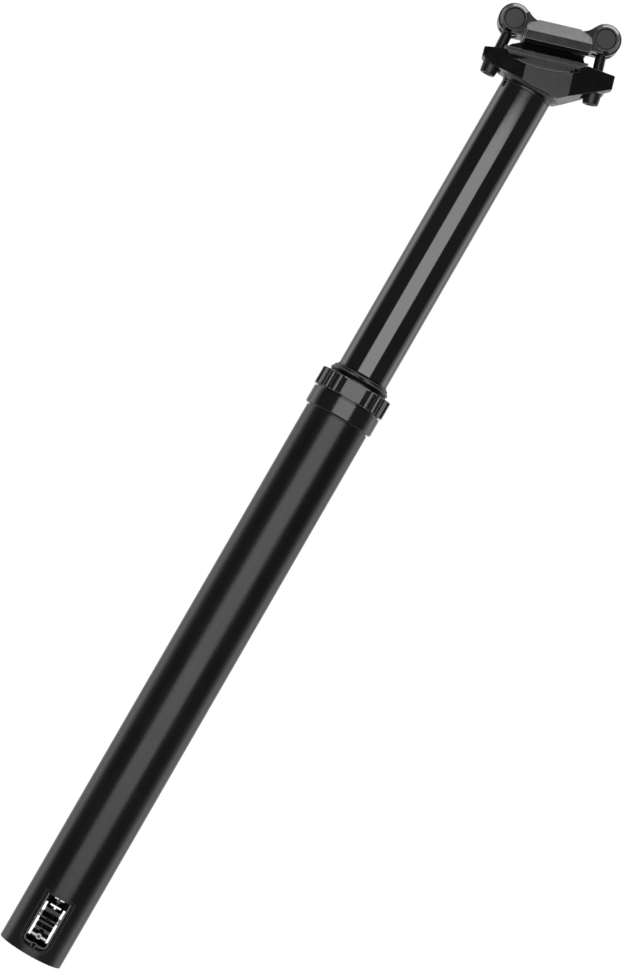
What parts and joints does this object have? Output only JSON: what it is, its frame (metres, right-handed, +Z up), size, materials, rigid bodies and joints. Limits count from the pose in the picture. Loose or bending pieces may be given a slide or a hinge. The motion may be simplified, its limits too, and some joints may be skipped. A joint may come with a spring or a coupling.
{
  "type": "dropper bicycle seatpost",
  "caption": "Telescoping dropper seatpost with a gloss inner tube, satin outer tube, sealed collar, two-bolt saddle rail clamp and an internal cable release lever in its base.",
  "frame": {"origin": "centre of the outer tube's lower end, on the post's axis", "axes": "+Z up along the post's axis to the head; +X towards the rear of the saddle, square to the post; +Y to the side away from the cable window"},
  "size_m": [0.0632, 0.052, 0.5074],
  "materials": {
    "lower_tube_finish": "satin black anodised and painted aluminium tube",
    "gloss_black_tube": "gloss black hard-anodised tube",
    "gloss_black_collar": "gloss black anodised, machined",
    "head_black": "semi-gloss black forging",
    "clamp_black": "semi-gloss black forging",
    "bolt_black": "black oxide steel",
    "nut_black": "black machined nuts",
    "wiper_rubber": "matte black rubber lip seal",
    "seal_rubber": "black rubber",
    "bumper_rubber": "dark elastomer",
    "bushing_plastic": "grey bearing plastic",
    "actuator_housing": "dark anodised, machined",
    "bare_aluminium": "turned, bare",
    "bright_steel": "bright machined steel",
    "chromed_rod": "hard-chromed rod",
    "key_brass": "plain brass",
    "washer_steel": "dark steel washers"
  },
  "bodies": {
    "lower": {"lower_tube": "lower_tube_finish", "collar_base": "gloss_black_collar", "collar_oring": "seal_rubber", "collar_nut": "gloss_black_collar", "dust_wiper": "wiper_rubber", "upper_bushing": "bushing_plastic", "actuator_base": "actuator_housing", "base_snap_ring": "bright_steel", "bottom_bumper": "bumper_rubber", "lever_pivot_pin": "bright_steel", "lever_spring": "bright_steel", "cartridge_tube": "bare_aluminium", "cartridge_liner": "bare_aluminium", "cartridge_valve_body": "bare_aluminium", "cartridge_lock_nut": "bright_steel", "rod_guide": "bushing_plastic", "rod_seal": "seal_rubber"},
    "valve_pin": {"valve_pin": "bright_steel"},
    "lever": {"actuator_lever": "bright_steel"},
    "barrel": {"cable_barrel": "bright_steel", "barrel_set_screw": "bright_steel"},
    "upper": {"upper_tube": "gloss_black_tube", "head": "head_black", "lower_bushing": "bushing_plastic", "anti_rotation_keys": "key_brass", "piston_rod": "chromed_rod", "piston": "bare_aluminium", "piston_seal": "seal_rubber", "piston_nut": "bright_steel", "topout_bumper": "bumper_rubber", "rod_bolt": "bolt_black"},
    "clamp": {"lower_cradle": "clamp_black", "upper_clamp": "clamp_black"},
    "front_nut": {"barrel_nut_front": "nut_black"},
    "rear_nut": {"barrel_nut_rear": "nut_black"},
    "front_washer": {"seat_washer_front": "washer_steel"},
    "rear_washer": {"seat_washer_rear": "washer_steel"},
    "front_bolt": {"clamp_bolt_front": "bolt_black"},
    "rear_bolt": {"clamp_bolt_rear": "bolt_black"}
  },
  "joints": [
    {"name": "post_travel", "type": "slide", "parent": "lower", "child": "upper", "axis": [0, 0, 1], "range_m": [-0.15, 0], "stiffness_N_per_m": 300, "springref_m": 0.12},
    {"name": "clamp_tilt", "type": "hinge", "parent": "upper", "child": "clamp", "pos_m": [-0.01238, 0, 0.52014], "axis": [0, 1, 0], "range_deg": [-4, 4]},
    {"name": "front_bolt_swing", "type": "hinge", "parent": "upper", "child": "front_washer", "pos_m": [-0.02052, 0, 0.46486], "axis": [0, 1, 0], "range_deg": [-6.04, 6.04]},
    {"name": "rear_bolt_swing", "type": "hinge", "parent": "upper", "child": "rear_washer", "pos_m": [0.02706, 0, 0.4762], "axis": [0, 1, 0], "range_deg": [-4.91, 4.91]},
    {"name": "front_nut_turn", "type": "hinge", "parent": "clamp", "child": "front_nut", "pos_m": [-0.02169, 0, 0.48722], "axis": [0, 1, 0], "range_deg": [-10.04, 10.04]},
    {"name": "rear_nut_turn", "type": "hinge", "parent": "clamp", "child": "rear_nut", "pos_m": [0.01981, 0, 0.49991], "axis": [0, 1, 0], "range_deg": [-8.91, 8.91]},
    {"name": "front_bolt_turn", "type": "hinge", "parent": "front_washer", "child": "front_bolt", "pos_m": [-0.02052, 0, 0.46486], "axis": [-0.0523, 0, 0.9986], "continuous": true},
    {"name": "rear_bolt_turn", "type": "hinge", "parent": "rear_washer", "child": "rear_bolt", "pos_m": [0.02706, 0, 0.4762], "axis": [-0.2924, 0, 0.9563], "continuous": true},
    {"name": "lever_swing", "type": "hinge", "parent": "lower", "child": "lever", "pos_m": [0, -0.005, 0.0174], "axis": [1, 0, 0], "range_deg": [0, 12.3], "stiffness_Nm_per_rad": 0.05, "springref_deg": -11.46},
    {"name": "valve_push", "type": "slide", "parent": "lower", "child": "valve_pin", "axis": [0, 0, 1], "range_m": [0, 0.00104], "stiffness_N_per_m": 1, "springref_m": 0.027},
    {"name": "barrel_swivel", "type": "hinge", "parent": "lever", "child": "barrel", "pos_m": [0, -0.0108, 0.0093], "axis": [1, 0, 0], "range_deg": [-25, 25]}
  ],
  "couplings": [
    {"joint": "front_bolt_swing", "follows": "clamp_tilt", "ratio": -1.434},
    {"joint": "rear_bolt_swing", "follows": "clamp_tilt", "ratio": -1.153},
    {"joint": "front_nut_turn", "follows": "clamp_tilt", "ratio": -2.434},
    {"joint": "rear_nut_turn", "follows": "clamp_tilt", "ratio": -2.153},
    {"joint": "lever_swing", "follows": "valve_push", "rad_per_m": 200}
  ]
}
